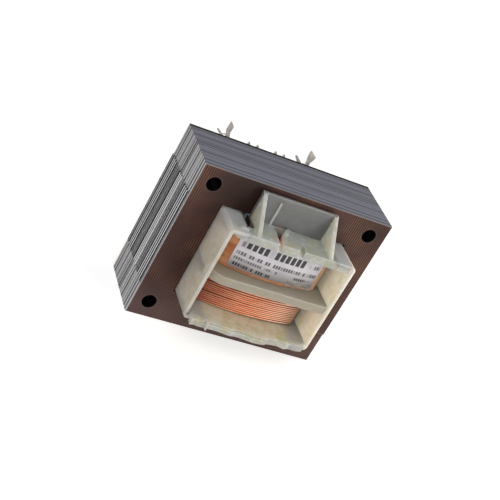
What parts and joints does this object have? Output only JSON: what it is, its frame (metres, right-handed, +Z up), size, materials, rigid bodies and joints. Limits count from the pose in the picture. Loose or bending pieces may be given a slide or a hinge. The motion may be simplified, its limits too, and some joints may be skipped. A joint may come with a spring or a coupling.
{
  "type": "laminated chassis transformer",
  "caption": "Small mains transformer with an interleaved EI core, a two-section bobbin with copper windings, insulating shrouds and forked solder lugs, clamped through its corner holes.",
  "frame": {"origin": "middle of the bottom face of the core, which the transformer stands on", "axes": "+X along the width of the core, +Y from the front of the stack to the solder lugs at the back, +Z up"},
  "size_m": [0.0542, 0.0443, 0.0455],
  "materials": {
    "core_sheet": "oxidised silicon steel, bare cut edges",
    "bobbin_nylon": "natural moulded nylon, slightly translucent",
    "shroud_nylon": "natural moulded nylon, satin",
    "enamelled_copper": "clear enamelled copper wire",
    "label_paper": "matt printed label stock, blank",
    "clear_tape": "wrinkled clear tape",
    "tinned_brass": "tinned, brass showing at the cut edges",
    "solder": "bright solder"
  },
  "bodies": {
    "root": {"e_laminations_top": "core_sheet", "e_laminations_bottom": "core_sheet", "i_laminations_top": "core_sheet", "i_laminations_bottom": "core_sheet", "bobbin": "bobbin_nylon", "shroud_left": "shroud_nylon", "shroud_right": "shroud_nylon", "primary_winding": "enamelled_copper", "secondary_winding": "enamelled_copper", "label": "label_paper", "label_tape": "clear_tape", "lug_1": "tinned_brass", "lug_2": "tinned_brass", "lug_3": "tinned_brass", "lug_4": "tinned_brass", "lead_1": "enamelled_copper", "lead_2": "enamelled_copper", "lead_3": "enamelled_copper", "lead_4": "enamelled_copper", "solder_1": "solder", "solder_2": "solder", "solder_3": "solder", "solder_4": "solder"}
  },
  "joints": []
}
